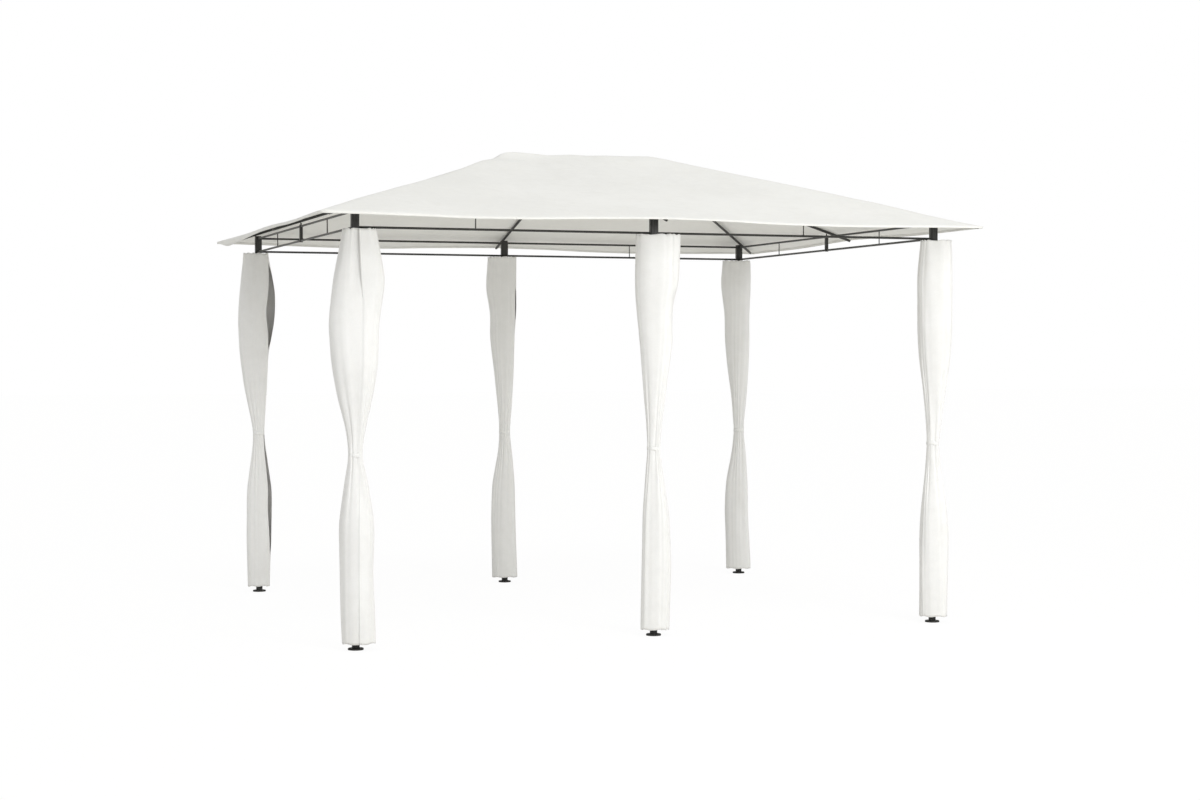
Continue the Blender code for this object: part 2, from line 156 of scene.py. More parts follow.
# An effect is a node group. Its inputs are label, kind and value, and its outputs label and kind.
def newGroup(name, inputs, outputs):
    tree = bpy.data.node_groups.new(name, "ShaderNodeTree")
    for label, kind, value in inputs:
        socket = tree.interface.new_socket(label, in_out="INPUT", socket_type=socketKinds[kind])
        if value is not None:
            socket.default_value = value
    for label, kind in outputs:
        tree.interface.new_socket(label, in_out="OUTPUT", socket_type=socketKinds[kind])
    entry = tree.nodes.new("NodeGroupInput")
    out = tree.nodes.new("NodeGroupOutput")
    return tree, entry.outputs, out.inputs


# Plain weave: crossing threads on a map in metres, with slubs where a thread is thicker.
weaveLook = {
    "crossing": 0.35,
    "slubScale": 160.0,
    "slubDetail": 3.0,
    "slubTones": (0.3, 0.7),
}


def buildWeave():
    tree, entry, out = newGroup(
        "plainWeave",
        [("Map", "vector", None), ("Threads per metre", "number", 900.0), ("Slub", "number", 0.3)],
        [("Height", "number"), ("Thread tone", "number")])
    split = axesOf(tree, entry["Map"])
    turns = mathNode(tree, "MULTIPLY", entry["Threads per metre"], pi)
    across, along = [mathNode(tree, "SINE", mathNode(tree, "MULTIPLY", split[axis], turns))
                     for axis in "XY"]
    crossing = mathNode(tree, "MULTIPLY", across, along)
    ribs = mathNode(tree, "MAXIMUM", mathNode(tree, "ABSOLUTE", across), mathNode(tree, "ABSOLUTE", along))
    height = mathNode(tree, "ADD", mathNode(tree, "MULTIPLY", crossing, weaveLook["crossing"]), ribs)
    slub = noiseNode(tree, entry["Map"], weaveLook["slubScale"], weaveLook["slubDetail"])
    feed(tree, out["Height"], mathNode(tree, "MULTIPLY_ADD", slub, entry["Slub"], height))
    feed(tree, out["Thread tone"], rangeNode(tree, slub, *weaveLook["slubTones"]))
    return tree


# Cloth tone: slow changes of shade from the dyeing, and a little dust low down and in specks.
# Each noise is a scale, a detail and a roughness.
clothToneLook = {
    "slow": (1.7, 3.0, 0.55),
    "fine": (24.0, 4.0, 0.6),
    "fineShare": 0.35,
    "tones": (0.36, 0.64),
    "specks": (9.0, 5.0, 0.62),
    "speckTones": (0.45, 0.75),
    "speckShare": 0.5,
    "threadShare": 0.06,
}


def buildClothTone():
    look = clothToneLook
    tree, entry, out = newGroup(
        "clothTone",
        [("Colour", "colour", None), ("Shade", "colour", None), ("Dust", "colour", None),
         ("Dust height", "number", 0.35), ("Dust amount", "number", 0.25), ("Thread tone", "number", 0.5)],
        [("Colour", "colour"), ("Mask", "number")])
    place = objectPlace(tree)
    slow = mathNode(tree, "MULTIPLY", noiseNode(tree, place, *look["slow"]), 1 - look["fineShare"])
    blend = mathNode(tree, "MULTIPLY_ADD", noiseNode(tree, place, *look["fine"]), look["fineShare"], slow)
    shaded = mixColour(tree, rangeNode(tree, blend, *look["tones"]), entry["Colour"], entry["Shade"])
    low = rangeNode(tree, axesOf(tree, place)["Z"], 0.0, entry["Dust height"], 1.0, 0.0)
    specks = rangeNode(tree, noiseNode(tree, place, *look["specks"]), *look["speckTones"])
    lowShare = mathNode(tree, "MULTIPLY", low, 1 - look["speckShare"])
    settled = mathNode(tree, "MULTIPLY_ADD", specks, look["speckShare"], lowShare)
    dust = mathNode(tree, "MULTIPLY", settled, entry["Dust amount"])
    mask = mathNode(tree, "MULTIPLY_ADD", entry["Thread tone"], look["threadShare"], dust)
    feed(tree, out["Colour"], mixColour(tree, mask, shaded, entry["Dust"]))
    feed(tree, out["Mask"], mask)
    return tree


# Powder coat: the fine orange-peel grain, and edges where the coat is rubbed in patches.
coatLook = {
    "bevelSamples": 4,
    "edgeTurn": (0.02, 0.22),
    "patches": (38.0, 4.0, 0.65),
    "patchTones": (0.46, 0.66),
    "tone": (5.0, 3.0),
    "toneRange": (0.35, 0.65),
}


def buildCoat():
    look = coatLook
    tree, entry, out = newGroup(
        "powderCoat",
        [("Grain scale", "number", 900.0), ("Edge width", "number", 0.0012)],
        [("Height", "number"), ("Rubbed", "number"), ("Tone", "number")])
    place = objectPlace(tree)
    feed(tree, out["Height"], noiseNode(tree, place, entry["Grain scale"]))
    bevel = newNode(tree, "ShaderNodeBevel", samples=look["bevelSamples"])
    feed(tree, bevel.inputs["Radius"], entry["Edge width"])
    dot = newNode(tree, "ShaderNodeVectorMath", operation="DOT_PRODUCT")
    feed(tree, dot.inputs[0], bevel.outputs[0])
    feed(tree, dot.inputs[1], newNode(tree, "ShaderNodeNewGeometry").outputs["True Normal"])
    turned = mathNode(tree, "SUBTRACT", 1.0, dot.outputs["Value"])
    patches = rangeNode(tree, noiseNode(tree, place, *look["patches"]), *look["patchTones"])
    rubbed = mathNode(tree, "MULTIPLY", rangeNode(tree, turned, *look["edgeTurn"]), patches)
    feed(tree, out["Rubbed"], rubbed)
    feed(tree, out["Tone"], rangeNode(tree, noiseNode(tree, place, *look["tone"]), *look["toneRange"]))
    return tree


# Sewing: two rows of stitches along a line, and the raised band between them.
sewingLook = {
    "bandFades": 1.12,
    "rowAt": 0.86,
    "rowWidth": (0.0004, 0.0010),
    "stitchEnds": (0.55, 0.75),
    "rowDip": -0.5,
    "threadRise": 0.45,
}


def buildSewing():
    look = sewingLook
    tree, entry, out = newGroup(
        "sewing",
        [("Away", "number", None), ("Along", "number", None),
         ("Band", "number", 0.022), ("Stitch", "number", 0.0035)],
        [("Height", "number"), ("Thread", "number")])
    band = entry["Band"]
    away = mathNode(tree, "ABSOLUTE", entry["Away"])
    raised = rangeNode(tree, away, band, mathNode(tree, "MULTIPLY", band, look["bandFades"]), 1.0, 0.0)
    rowLine = mathNode(tree, "MULTIPLY", band, look["rowAt"])
    offRow = mathNode(tree, "ABSOLUTE", mathNode(tree, "SUBTRACT", away, rowLine))
    row = rangeNode(tree, offRow, *look["rowWidth"], 1.0, 0.0)
    stitch = mathNode(tree, "FRACT", mathNode(tree, "DIVIDE", entry["Along"], entry["Stitch"]))
    thread = mathNode(tree, "MULTIPLY", row, rangeNode(tree, stitch, *look["stitchEnds"], 1.0, 0.0))
    dip = mathNode(tree, "MULTIPLY_ADD", row, look["rowDip"], raised)
    feed(tree, out["Height"], mathNode(tree, "MULTIPLY_ADD", thread, look["threadRise"], dip))
    feed(tree, out["Thread"], thread)
    return tree


weaveGroup = buildWeave()
sewingGroup = buildSewing()
clothToneGroup = buildClothTone()
coatGroup = buildCoat()


# Values are given by the group's own labels, with _ for a space.
def placeGroup(tree, group, **values):
    node = newNode(tree, "ShaderNodeGroup", node_tree=group)
    for label, value in values.items():
        feed(tree, node.inputs[label.replace("_", " ")], value)
    return node.outputs


def newMaterial(name, viewport):
    material = bpy.data.materials.new(name)
    material.use_nodes = True
    material.diffuse_color = (*viewport, 1.0)
    return material, material.node_tree, material.node_tree.nodes["Principled BSDF"]


# A finish's bump is its strength and its depth in metres.
def addBump(tree, shader, height, strength, depth):
    bump = newNode(tree, "ShaderNodeBump")
    for label, value in (("Strength", strength), ("Distance", depth), ("Height", height)):
        feed(tree, bump.inputs[label], value)
    feed(tree, shader.inputs["Normal"], bump.outputs[0])


clothFinish = {
    "canopy": {
        "colour": (0.84, 0.84, 0.805),
        "shade": (0.80, 0.80, 0.765),
        "dust": (0.60, 0.58, 0.52),
        "dustAmount": 0.16,
        "dustHeight": 0.01,
        "thread": (0.74, 0.74, 0.71),
        "threads": 1100.0,
        "through": 0.20,
        "hemBand": 0.026,
        "hipBand": 0.009,
    },
    "curtain": {
        "colour": (0.87, 0.87, 0.85),
        "shade": (0.83, 0.83, 0.81),
        "dust": (0.62, 0.60, 0.55),
        "dustAmount": 0.14,
        "dustHeight": 0.30,
        "thread": (0.76, 0.76, 0.74),
        "threads": 1400.0,
        "through": 0.25,
        "hemBand": 0.014,
    },
}

# What both cloths share. Their subsurface sockets let some light through.
clothBody = {
    "roughness": 0.80,
    "dustRoughness": 0.2,
    "stitchTone": 0.5,
    "stitchRise": 2.0,
    "bump": (0.25, 0.0003),
    "sockets": {
        "Sheen Weight": 0.12,
        "Sheen Roughness": 0.5,
        "Specular IOR Level": 0.25,
        "Subsurface Radius": (1.0, 0.97, 0.9),
        "Subsurface Scale": 0.003,
    },
}


# The canopy's seams run along the ridge, the hem and the four hips, each from a hub to a corner post.
def canopySeams(tree, finish):
    hip = (Vector(cornerOut()) - Vector((hubOut(), 0.0))).normalized()
    plan = axesOf(tree, mapNode(tree, "clothMap"))
    edge = axesOf(tree, mapNode(tree, "hemMap"))
    x, y = [mathNode(tree, "ABSOLUTE", plan[axis]) for axis in "XY"]
    outward = mathNode(tree, "MAXIMUM", mathNode(tree, "SUBTRACT", x, hubOut()), 0.0)
    away = mathNode(tree, "MULTIPLY_ADD", outward, -hip.y, mathNode(tree, "MULTIPLY", y, hip.x))
    along = mathNode(tree, "ADD", x, y)
    hips = placeGroup(tree, sewingGroup, Away=away, Along=along, Band=finish["hipBand"])
    hem = placeGroup(tree, sewingGroup, Away=edge["Y"], Along=edge["X"], Band=finish["hemBand"])
    return [mathNode(tree, "MAXIMUM", hips[label], hem[label]) for label in ("Height", "Thread")]


# A curtain's side hems lie along both edges of its strip.
def curtainSeams(tree, finish):
    edge = axesOf(tree, mapNode(tree, "hemMap"))
    hem = placeGroup(tree, sewingGroup, Away=edge["X"], Along=edge["Y"], Band=finish["hemBand"])
    return hem["Height"], hem["Thread"]


def makeCloth(name, finish, seams):
    body = clothBody
    material, tree, shader = newMaterial(name, finish["colour"])
    weave = placeGroup(tree, weaveGroup, Map=mapNode(tree, "clothMap"), Threads_per_metre=finish["threads"])
    sewn, thread = seams(tree, finish)
    tone = placeGroup(tree, clothToneGroup, Colour=finish["colour"], Shade=finish["shade"],
                      Dust=finish["dust"], Dust_height=finish["dustHeight"],
                      Dust_amount=finish["dustAmount"], Thread_tone=weave["Thread tone"])
    stitched = mathNode(tree, "MULTIPLY", thread, body["stitchTone"])
    feed(tree, shader.inputs["Base Color"], mixColour(tree, stitched, tone["Colour"], finish["thread"]))
    rough = mathNode(tree, "MULTIPLY_ADD", tone["Mask"], body["dustRoughness"], body["roughness"])
    feed(tree, shader.inputs["Roughness"], rough)
    for label, value in body["sockets"].items():
        shader.inputs[label].default_value = value
    shader.inputs["Subsurface Weight"].default_value = finish["through"]
    height = mathNode(tree, "MULTIPLY_ADD", sewn, body["stitchRise"], weave["Height"])
    addBump(tree, shader, height, *body["bump"])
    return material


coatFinish = {
    "colour": (0.029, 0.029, 0.027),
    "lighter": 1.25,
    "worn": (0.090, 0.088, 0.084),
    "roughness": 0.42,
    "wornRoughness": -0.12,
    "metallic": 0.2,
    "bump": (0.18, 0.0004),
}


def makeCoat():
    finish = coatFinish
    material, tree, shader = newMaterial("powderSteel", finish["colour"])
    coat = placeGroup(tree, coatGroup)
    lighter = tuple(part * finish["lighter"] for part in finish["colour"])
    base = mixColour(tree, coat["Tone"], finish["colour"], lighter)
    feed(tree, shader.inputs["Base Color"], mixColour(tree, coat["Rubbed"], base, finish["worn"]))
    rough = mathNode(tree, "MULTIPLY_ADD", coat["Rubbed"], finish["wornRoughness"], finish["roughness"])
    feed(tree, shader.inputs["Roughness"], rough)
    shader.inputs["Metallic"].default_value = finish["metallic"]
    addBump(tree, shader, coat["Height"], *finish["bump"])
    return material


plasticFinish = {
    "colour": (0.022, 0.022, 0.021),
    "worn": (0.07, 0.07, 0.068),
    "dust": (0.14, 0.135, 0.12),
    "dustHeight": 0.012,
    "dustAmount": 0.55,
    "specks": (60.0, 4.0, 0.6),
    "speckTones": (0.4, 0.7),
    "roughness": 0.55,
    "dustRoughness": 0.5,
    "grainScale": 420.0,
    "edgeWidth": 0.0015,
    "bump": (0.25, 0.0005),
}


def makePlastic():
    finish = plasticFinish
    material, tree, shader = newMaterial("footPlastic", finish["colour"])
    coat = placeGroup(tree, coatGroup, Grain_scale=finish["grainScale"], Edge_width=finish["edgeWidth"])
    place = objectPlace(tree)
    low = rangeNode(tree, axesOf(tree, place)["Z"], 0.0, finish["dustHeight"], finish["dustAmount"], 0.0)
    specks = rangeNode(tree, noiseNode(tree, place, *finish["specks"]), *finish["speckTones"])
    dust = mathNode(tree, "MULTIPLY", low, specks)
    base = mixColour(tree, coat["Rubbed"], finish["colour"], finish["worn"])
    feed(tree, shader.inputs["Base Color"], mixColour(tree, dust, base, finish["dust"]))
    rough = mathNode(tree, "MULTIPLY_ADD", dust, finish["dustRoughness"], finish["roughness"])
    feed(tree, shader.inputs["Roughness"], rough)
    addBump(tree, shader, coat["Height"], *finish["bump"])
    return material


canopyCloth = makeCloth("canopyCloth", clothFinish["canopy"], canopySeams)
curtainCloth = makeCloth("curtainCloth", clothFinish["curtain"], curtainSeams)
powderSteel = makeCoat()
footPlastic = makePlastic()
print("materials made")

for name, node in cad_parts.items():
    node.data.materials.clear()
    node.data.materials.append(footPlastic if name.startswith("foot") else powderSteel)


# Mesh helpers.
def smoothStep(value):
    value = np.clip(value, 0.0, 1.0)
    return value * value * (3 - 2 * value)


def blurred(values, spread):
    reach = int(spread * 3) + 1
    kernel = np.exp(-0.5 * (np.arange(-reach, reach + 1) / spread) ** 2)
    kernel /= kernel.sum()
    padded = np.pad(values, reach, mode="edge")
    return np.convolve(padded, kernel, mode="valid")


# Soft unevenness from -1 to 1: sine waves of about one size that cross in random directions.
waveMix = {
    "count": 7,
    "spread": (0.6, 1.5),
}


def waves(points, size, seed):
    rng = np.random.default_rng(seed)
    total = np.zeros(points.shape[:-1])
    for _ in range(waveMix["count"]):
        direction = rng.normal(size=points.shape[-1])
        direction *= rng.uniform(*waveMix["spread"]) / np.linalg.norm(direction)
        total += np.sin(points @ direction * 2 * pi / size + rng.uniform(0, 2 * pi))
    return total / waveMix["count"]


# A wave round a curtain or a tie starts anywhere.
def anyStart(rng):
    return rng.uniform(0, 6)


# Distances along rows of points, each from the row's first point.
def distancesAlong(points):
    steps = np.linalg.norm(np.diff(points, axis=1), axis=2)
    return np.concatenate([np.zeros((len(points), 1)), np.cumsum(steps, axis=1)], axis=1)


# A sheet of four-sided faces over rows of points. A closed one joins each row's end to its start.
def gridObject(name, points, maps, closed, material, skin=0.0, weld=0.0):
    rows, columns = points.shape[:2]
    index = np.arange(rows * columns).reshape(rows, columns)
    right = np.roll(index, -1, axis=1) if closed else index[:, 1:]
    left = index if closed else index[:, :-1]
    faces = np.stack([left[:-1], left[1:], right[1:], right[:-1]], axis=-1).reshape(-1, 4)
    mesh = bpy.data.meshes.new(name)
    mesh.from_pydata(points.reshape(-1, 3).tolist(), [], faces.tolist())
    corners = np.empty(len(mesh.loops), dtype=np.int32)
    mesh.loops.foreach_get("vertex_index", corners)
    for label, uv in maps.items():
        layer = mesh.uv_layers.new(name=label)
        layer.data.foreach_set("uv", uv.reshape(-1, 2)[corners].astype(np.float32).ravel())
    mesh.materials.append(material)
    mesh.shade_smooth()
    obj = bpy.data.objects.new(name, mesh)
    scene.collection.objects.link(obj)
    if weld:
        join = obj.modifiers.new("weld", "WELD")
        join.merge_threshold = weld
    if skin:
        solid = obj.modifiers.new("skin", "SOLIDIFY")
        solid.thickness = skin
        solid.offset = -1.0
    return obj


# The canopy: one sheet from the ridge over the rafters to a sewn hem. Lengths are in metres. Shares
# run from 0 at the ridge to 1 at the edge, or from 0 to 1 across a bay between two supports.
canopyShape = {
    "overRafter": 0.0115,
    "overBlur": 1.0,  # rings
    "rafterAtPosts": 2.1045,
    "hipAtHub": 2.470,
    "endAtHub": 2.458,
    "ridgeHeight": 2.4765,
    "peakCurve": 1.5,
    "sideSag": 0.0135,
    "endSag": 0.007,
    "sagFullAt": 0.35,
    "dropFullAt": 0.28,
    "dropFades": 0.5,
    "ribsPerBay": 36,
    "rings": 90,
    "ringPacking": 1.4,  # rings lie closer together near the ridge
    # Inward under the sheet, share of the hem's depth, and how far out on the map.
    "hemTurn": ((0.0006, 0.25, 0.004), (0.0, 0.6, 0.009), (0.0, 1.0, 0.015)),
    "creases": ((0.55, 4, 0.0015), (0.16, 9, 0.0004)),  # size, seed, height
    "creasesFullAt": 0.2,
    "endCreases": 0.3,
    "weld": 0.0002,
    "thickness": 0.0012,
}

# The cloth's height along the ridge, from the left hub to the right one.
ridgeLine = [(-0.43, 2.4945), (-0.40, 2.504), (-0.36, 2.507), (-0.30, 2.505), (-0.21, 2.499),
             (-0.16, 2.495), (-0.11, 2.498), (-0.02, 2.503), (0.07, 2.500), (0.17, 2.504),
             (0.31, 2.504), (0.37, 2.507), (0.43, 2.507)]

# What holds the cloth: how far it reaches past its post, the hem's depth, how far the peak spreads,
# how much deeper the short side's hem hangs beside that corner, and how far the cloth stands over
# the rafter's line (distance from the ridge in m, mm).
canopyHolds = {
    "front_left": {
        "past": 0.34, "hem": 0.012, "spread": 0.06, "drop": 0.0,
        "over": [(0.0, 0), (0.12, 1), (0.23, 9), (0.35, 7), (0.5, 1), (0.7, -2), (0.82, -1),
                 (0.93, 3), (1.06, 4), (1.2, 9), (1.33, 10), (1.45, 12), (1.58, 15), (1.7, 16),
                 (1.82, 15), (1.93, 16), (2.02, 15)],
    },
    "front_right": {
        "past": 0.27, "hem": 0.009, "spread": 0.20, "drop": 0.0,
        "over": [(0.0, 0), (0.04, 10), (0.13, 24), (0.215, 26), (0.3, 24), (0.4, 23), (0.56, 21.5),
                 (0.75, 21), (1.0, 19), (1.14, 16.5), (1.22, 14), (1.38, 13), (1.46, 9.5),
                 (1.54, 7), (1.62, 2), (1.7, 0.5), (1.77, -2), (2.0, -2.5)],
    },
    "back_left": {
        "past": 0.31, "hem": 0.012, "spread": 0.07, "drop": 0.036,
        "over": [(0.0, 0), (0.9, 3), (1.4, 9), (1.8, 12), (2.0, 17)],
    },
    "back_right": {
        "past": 0.31, "hem": 0.010, "spread": 0.20, "drop": 0.0,
        "over": [(0.0, 0), (0.13, 20), (0.4, 22), (1.0, 18), (1.5, 8), (1.8, 4), (2.0, 8)],
    },
    "left": {
        "past": 0.172, "hem": 0.016, "spread": 0.07, "drop": 0.0,
        "over": [(0.0, 0), (0.03, 5), (0.08, 0), (1.17, 0), (1.23, 8), (1.277, 16)],
    },
    "right": {
        "past": 0.172, "hem": 0.014, "spread": 0.20, "drop": 0.0,
        "over": [(0.0, 0), (1.17, 0), (1.23, 8), (1.277, 16)],
    },
    "front": {
        "past": 0.200, "hem": 0.006, "spread": 0.30, "drop": 0.0,
        "over": [(0.0, 0), (1.26, 1), (1.38, 5), (1.45, 6), (1.48, 4)],
    },
    "back": {
        "past": 0.200, "hem": 0.010, "spread": 0.30, "drop": 0.0,
        "over": [(0.0, 0), (1.26, 1), (1.38, 5), (1.45, 8), (1.48, 8)],
    },
}


# One quarter's supports, as where each leaves the ridge, its tip in plan, its height at both ends and
# its hold. They are worked out for the quarter with x and y above 0.
def canopySupports(signX, signY):
    shape = canopyShape
    hubX = hubOut()
    middleX = signX * postPlace("front_middle")[0]
    halfX, halfY = cornerOut()
    end = "left" if signX < 0 else "right"
    side = "front" if signY < 0 else "back"
    runs = ((end, hubX, shape["endAtHub"], np.array([halfX - hubX, 0.0])),
            (side + "_" + end, hubX, shape["hipAtHub"], np.array([halfX - hubX, halfY])),
            (side, middleX, shape["ridgeHeight"], np.array([0.0, halfY])))
    supports = []
    for name, topX, top, run in runs:
        hold = canopyHolds[name]
        long = np.linalg.norm(run)
        fall = (top - shape["rafterAtPosts"]) / long
        tip = np.array([topX, 0.0]) + run / long * (long + hold["past"])
        eave = shape["rafterAtPosts"] + shape["overRafter"] - fall * hold["past"]
        supports.append(((topX, tip, top + shape["overRafter"], eave), hold))
    return supports


# The sheet's line from the ridge to its folded edge, at a share of the way between two supports.
def canopyRib(first, second, share, onEnd, signs, part):
    shape = canopyShape
    topX, edge, top, eave = [one + (two - one) * share for one, two in zip(first[0], second[0])]
    hem, spread = [first[1][key] * (1 - share) + second[1][key] * share for key in ("hem", "spread")]
    if onEnd:
        beside = 1 - share
        fade = exp(-(beside / shape["dropFades"]) ** 2)
        hem += second[1]["drop"] * smoothStep(beside / shape["dropFullAt"]) * fade
    start = np.array([topX, 0.0])
    length = np.linalg.norm(edge - start)
    peak = np.interp(topX * signs[0], *np.array(ridgeLine).T) - top
    height = top + (eave - top) * part
    height += peak * np.clip(1 - part * length / spread, 0.0, 1.0) ** shape["peakCurve"]
    for (run, hold), weight in ((first, 1 - share), (second, share)):
        distance, over = np.array(hold["over"]).T
        long = np.linalg.norm(run[1] - np.array([run[0], 0.0]))
        height += blurred(np.interp(part * long, distance, over), shape["overBlur"]) / 1000 * weight
    sag = shape["endSag"] if onEnd else shape["sideSag"]
    height -= sag * sin(pi * share) ** 2 * smoothStep(part / shape["sagFullAt"])
    rib = np.column_stack([(start + (edge - start) * part[:, None]) * signs, height])
    # The hem turns down and its folded edge goes back under the sheet.
    inward = (start - edge) / length * signs
    turned = [rib[-1] + np.array([*(inward * back), -hem * down]) for back, down, _ in shape["hemTurn"]]
    return np.vstack([rib, *turned]), sin(pi * share) * (shape["endCreases"] if onEnd else 1.0)


# All ribs, from the middle of the right side round the back, the left and the front.
def canopyRibs(part):
    steps = np.arange(canopyShape["ribsPerBay"]) / canopyShape["ribsPerBay"]
    ribs = []
    for signX, signY in ((1, 1), (-1, 1), (-1, -1), (1, -1)):
        end, hip, side = canopySupports(signX, signY)
        bays = [(end, hip, share, True) for share in steps]
        bays += [(hip, side, share, False) for share in (*steps, 1.0)]
        quarter = [canopyRib(*bay, np.array([signX, signY]), part) for bay in bays]
        if signX != signY:
            quarter.reverse()
        ribs += quarter[:-1]
    points, slack = zip(*ribs)
    return np.array(points), np.array(slack)


# The cloth map is the plan, with the hem laid out. The hem map runs along the edge and inwards from it.
def canopyMaps(points):
    plan = points[:, :, :2].copy()
    outOnMap = np.array(canopyShape["hemTurn"])[:, 2]
    plan[:, -len(outOnMap):] += outOnMap[None, :, None]
    inwards = distancesAlong(points[:, ::-1])[:, ::-1]
    around = np.cumsum(np.linalg.norm(np.diff(points[:, -1], axis=0, prepend=points[-1:, -1]), axis=1))
    hemMap = np.stack([np.broadcast_to(around[:, None], inwards.shape), inwards], axis=-1)
    return {"clothMap": plan.transpose(1, 0, 2), "hemMap": hemMap.transpose(1, 0, 2)}


def makeCanopy():
    shape = canopyShape
    part = np.linspace(0.0, 1.0, shape["rings"]) ** shape["ringPacking"]
    points, slack = canopyRibs(part)
    down = np.concatenate([part, np.ones(len(shape["hemTurn"]))])[None, :]
    soft = sum(waves(points[:, :, :2], size, seed) * height for size, seed, height in shape["creases"])
    points[:, :, 2] += soft * slack[:, None] * smoothStep(down / shape["creasesFullAt"])
    return gridObject("canopy_skin", points.transpose(1, 0, 2), canopyMaps(points), True, canopyCloth,
                      skin=shape["thickness"], weld=shape["weld"])


canopy = makeCanopy()
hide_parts("canopy")
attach(canopy, "root")
print("canopy made")


# The curtains: each an open strip of cloth round its post. Angles are seen from above, 0 to the
# right of the post as the camera sees it, 90 away from the camera and 270 towards it. Lengths are
# in metres.
curtainShape = {
    "seed": 11,
    "rows": 160,
    "columns": 154,
    "thickness": 0.0011,
    "stripWidth": 0.62,
    "flatDepth": 0.055,
    "waistDepth": 0.031,
    "sideBlur": 3.0,  # rows
    "depthBlur": 4.0,  # rows
    "tuck": 0.0018,
    "tuckAngle": 8,
    "pleats": 13,
    "pleatCurve": 1.6,
    "drift": ((0.22, 2), (0.10, 5)),  # how far in radians, waves round the curtain
    "twist": (0.25, 1.9),  # how far in radians, radians of its wave to a metre of height
    "tiePleat": 0.0032,
    "tiePleatReach": 0.30,
    "topPleat": 0.0030,
    "topPleatReach": 0.022,
    "bodyPleat": 0.0012,
    "tieGrip": 0.012,
    "gripFades": 0.10,
    "softness": 0.0035,
    "softSize": 0.22,
    "softStretch": (0.25, 0.45),  # round the post, up
    "softSeed": 40,
    "edgeReach": (0.02, 0.08),  # share of the strip, and what a full shift adds to it
    "edgeFull": (0.005, 0.004),  # a full shift out, and to the right
    "footWave": 0.003,
    "footWaveHeight": 0.1,
    "topGather": 0.005,
    "topGatherReach": 0.010,
}

# For each curtain: its tie's height, how square (1 is an ellipse) and how deep its section is, which
# end lies on top, then where its strip starts and ends at some heights (height, angle, out mm,
# right mm), and its own ridges and hollows (angle, width, out mm, height, half height, sharp).
curtains = {
    "front_left": {
        "tie": 0.925,
        "square": 0.80,
        "deep": 0.8,
        "over": "from",
        "from": [(2.0, -83, 5, 0), (1.85, -83, 5, 0), (1.74, -82.5, 3, 0), (1.69, -79, -0.8, 0),
                 (0.80, -77, -0.8, 0), (0.70, -82, 1, 0), (0.60, -85, 2, 0), (0.0, -85, 2, 0)],
        "to": [(2.0, 296, -6, 0), (1.76, 296, -5, 0), (1.68, 294, 0, 0), (0.74, 292, 0, 0),
               (0.62, 294, -2, 0), (0.0, 294, -2, 0)],
        "folds": [(274, 50, 34, 0.34, 0.36, True), (270, 6, -9, 1.86, 0.15, False),
                  (318, 20, -5, 1.42, 0.25, False), (225, 24, -3, 1.2, 0.35, False)],
    },
    "front_middle": {
        "tie": 0.930,
        "square": 0.72,
        "deep": 0.8,
        "over": "to",
        "from": [(2.0, -66, -9, 0), (0.0, -66, -6, 0)],
        "to": [(2.0, 306, 8, 0), (1.76, 307, 8, 0), (1.62, 334, 2, 0), (1.0, 340, 1, 0),
               (0.62, 318, 3, 0), (0.0, 314, 3, 0)],
        "folds": [(345, 22, -9, 1.6, 0.10, False), (235, 20, -4, 1.45, 0.35, False),
                  (290, 30, 3, 1.5, 0.4, False), (250, 18, -3, 0.45, 0.35, False)],
    },
    "front_right": {
        "tie": 0.935,
        "square": 0.82,
        "deep": 0.8,
        "over": "to",
        "from": [(2.0, -50, -8, 0), (0.0, -50, -6, 0)],
        "to": [(2.0, 322, 5, 0), (1.7, 326, 4, 0), (1.5, 338, 2, 0), (0.0, 336, 2, 0)],
        "folds": [(228, 20, -4, 1.4, 0.5, False), (205, 12, -6, 0.55, 0.14, False),
                  (300, 22, -3, 0.5, 0.35, False)],
    },
    "back_left": {
        "tie": 0.935,
        "square": 0.9,
        "deep": 0.66,
        "over": "to",
        "from": [(2.0, -45, -7, 0), (1.93, -25, -4, 0), (1.86, 2, 0, 0), (1.46, 2, 0, 0),
                 (1.38, -50, -6, 0), (1.02, -55, -5, 0), (0.88, 0, 0, 0), (0.28, 0, 0, 0),
                 (0.14, -40, -5, 0), (0.0, -45, -6, 0)],
        "to": [(2.0, 330, 3, 0), (1.88, 326, 0, -4), (1.64, 322, 0, -38), (1.50, 330, 0, -10),
               (1.38, 338, 2, 0), (1.0, 338, 1, 0), (0.50, 326, 0, -14), (0.16, 336, 2, 0),
               (0.0, 336, 2, 0)],
        "folds": [(262, 22, -5, 0.45, 0.40, False), (235, 30, 3, 1.6, 0.3, False)],
    },
    "back_middle": {
        "tie": 0.920,
        "square": 0.9,
        "deep": 0.8,
        "over": "to",
        "from": [(2.0, -45, -7, 0), (1.84, -30, -5, 0), (1.78, 0, 0, 0), (1.62, 0, 0, 0),
                 (1.54, -35, -6, 0), (0.0, -45, -6, 0)],
        "to": [(2.0, 330, 3, 0), (1.78, 336, 1, 0), (1.70, 340, 0, -1), (1.62, 338, 2, 0),
               (0.0, 334, 2, 0)],
        "folds": [(282, 20, -5, 0.45, 0.40, False), (245, 20, -4, 0.45, 0.40, False),
                  (240, 26, -4, 1.35, 0.35, False)],
    },
    "back_right": {
        "tie": 0.915,
        "square": 0.9,
        "deep": 0.8,
        "over": "to",
        "from": [(2.0, -45, -7, 0), (0.0, -45, -6, 0)],
        "to": [(2.0, 330, 3, 0), (0.0, 332, 2, 0)],
        "folds": [(284, 20, -5, 0.45, 0.40, False), (246, 20, -4, 0.45, 0.40, False),
                  (244, 26, -4, 1.35, 0.35, False)],
    },
}


